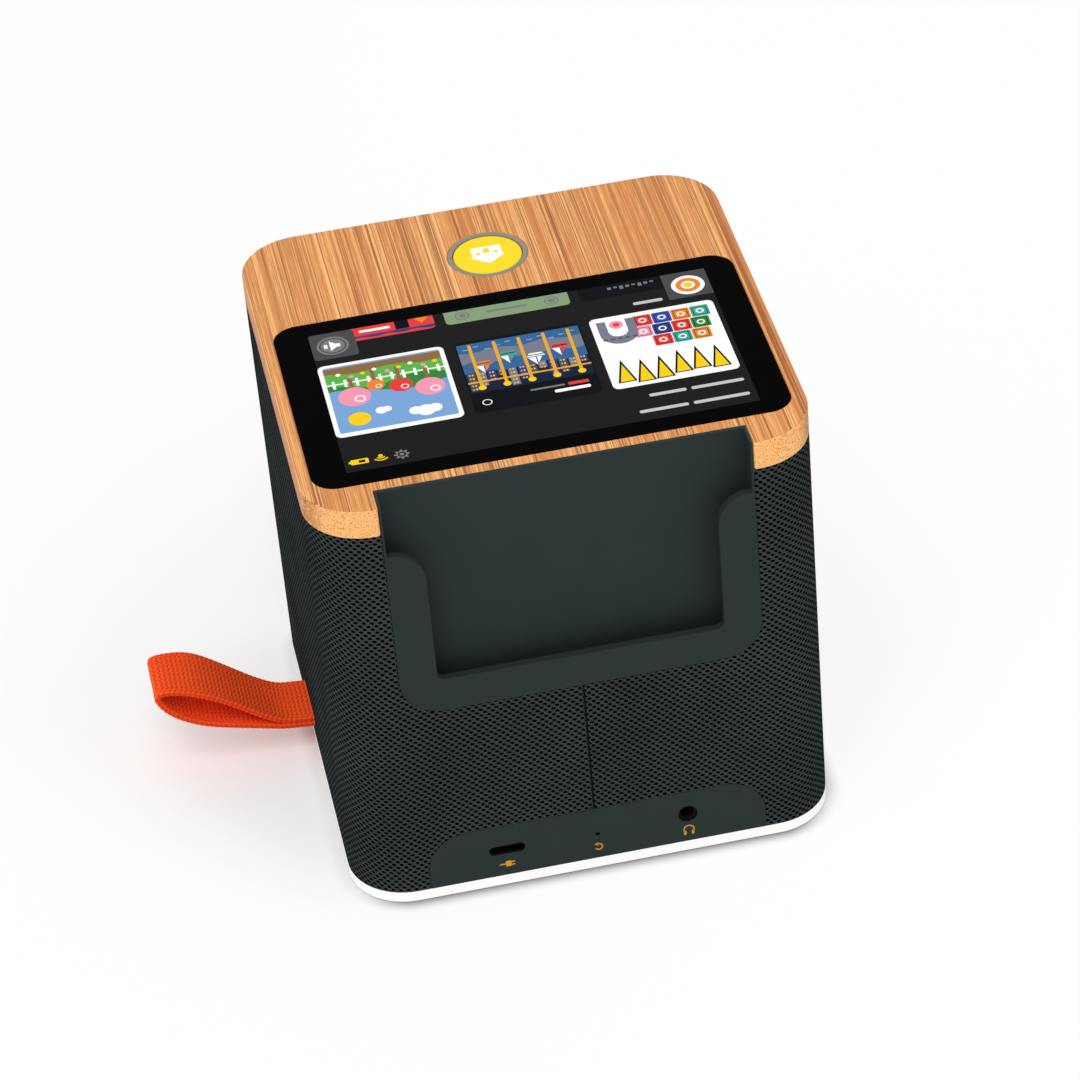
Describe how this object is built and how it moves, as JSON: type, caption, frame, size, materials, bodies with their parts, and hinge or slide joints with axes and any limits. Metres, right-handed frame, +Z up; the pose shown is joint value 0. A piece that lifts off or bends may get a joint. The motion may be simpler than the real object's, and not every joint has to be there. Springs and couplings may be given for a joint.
{
  "type": "audio story player",
  "caption": "Cube-shaped audio story player with bamboo top, touch display, push button, fabric-covered body, rear card pocket, port plate and webbing hand loop.",
  "frame": {"origin": "centre of the foot pad's underside, on the surface the player stands on", "axes": "+Z up through the bamboo top; +Y to the rear face with the card pocket and sockets; +X to the side with the hand loop"},
  "size_m": [0.1596, 0.1204, 0.118],
  "materials": {
    "bamboo": "satin",
    "cover_glass": "gloss",
    "black_tape": "matte",
    "display": "gloss",
    "black_plastic": "matte",
    "dark_plastic": "matte",
    "grey_plastic": "satin",
    "yellow_plastic": "satin",
    "silicone": "matte",
    "circuit_board": "satin",
    "steel": "brushed",
    "plated_steel": "satin",
    "knit_fabric": "knit",
    "ivory_plastic": "matte",
    "battery_wrap": "gloss",
    "foam": "matte",
    "ferrite": "matte",
    "cone_paper": "matte",
    "copper": "satin",
    "spider_cloth": "matte",
    "white_plastic": "satin",
    "rubber": "matte",
    "webbing": "woven",
    "flex_film": "satin",
    "lead_jacket": "matte"
  },
  "bodies": {
    "player": {"top_plate": "bamboo", "touch_glass": "cover_glass", "glass_tape": "black_tape", "lcd_panel": "display", "display_frame": "black_plastic", "display_screws": "steel", "button_ring": "grey_plastic", "ring_screws": "steel", "button_dome": "silicone", "button_board": "circuit_board", "button_screws": "steel", "housing": "black_plastic", "fabric_sleeve": "knit_fabric", "card_holder": "dark_plastic", "holder_screws": "steel", "reader_board": "circuit_board", "reader_screws": "steel", "port_plate": "dark_plastic", "usb_shell": "plated_steel", "usb_tongue": "black_plastic", "headphone_socket": "black_plastic", "set_switch": "black_plastic", "main_board": "circuit_board", "shield_can": "plated_steel", "board_plugs": "ivory_plastic", "board_chips": "black_plastic", "board_screws": "steel", "battery_pack": "battery_wrap", "battery_bracket": "plated_steel", "bracket_screws": "steel", "speaker_gasket": "foam", "speaker_basket": "plated_steel", "speaker_screws": "steel", "front_pole": "steel", "speaker_magnet": "ferrite", "speaker_yoke": "steel", "speaker_surround": "silicone", "speaker_spider": "spider_cloth", "base_cover": "white_plastic", "base_screws": "steel", "top_screws": "steel", "foot_pad": "rubber", "strap_tail": "webbing", "strap_clamp": "black_plastic", "clamp_screws": "steel", "display_flex": "flex_film", "radio_antenna": "flex_film", "antenna_lead": "lead_jacket", "speaker_lead": "lead_jacket", "battery_lead": "lead_jacket", "button_lead": "lead_jacket"},
    "home_button": {"button_cap": "yellow_plastic"},
    "set_button": {"set_plunger": "grey_plastic"},
    "cone": {"speaker_cone": "cone_paper", "dust_cap": "cone_paper", "voice_coil": "copper"},
    "hand_loop": {"strap_loop": "webbing", "strap_fold": "webbing"}
  },
  "joints": [
    {"name": "home_button_press", "type": "slide", "parent": "player", "child": "home_button", "axis": [0, 0, -1], "range_m": [0, 0.0007], "stiffness_N_per_m": 2000, "deforming": ["button_dome"]},
    {"name": "set_button_press", "type": "slide", "parent": "player", "child": "set_button", "axis": [0, -1, 0], "range_m": [0, 0.00025], "stiffness_N_per_m": 4000},
    {"name": "cone_stroke", "type": "slide", "parent": "player", "child": "cone", "axis": [0, -1, 0], "range_m": [-0.001, 0.001], "stiffness_N_per_m": 1500, "deforming": ["speaker_surround", "speaker_spider"]},
    {"name": "hand_loop_swing", "type": "hinge", "parent": "player", "child": "hand_loop", "pos_m": [0.0608, -0.012, 0.0095], "axis": [0, -1, 0], "range_deg": [-27, 55], "stiffness_Nm_per_rad": 0.02, "deforming": ["strap_fold"]}
  ]
}
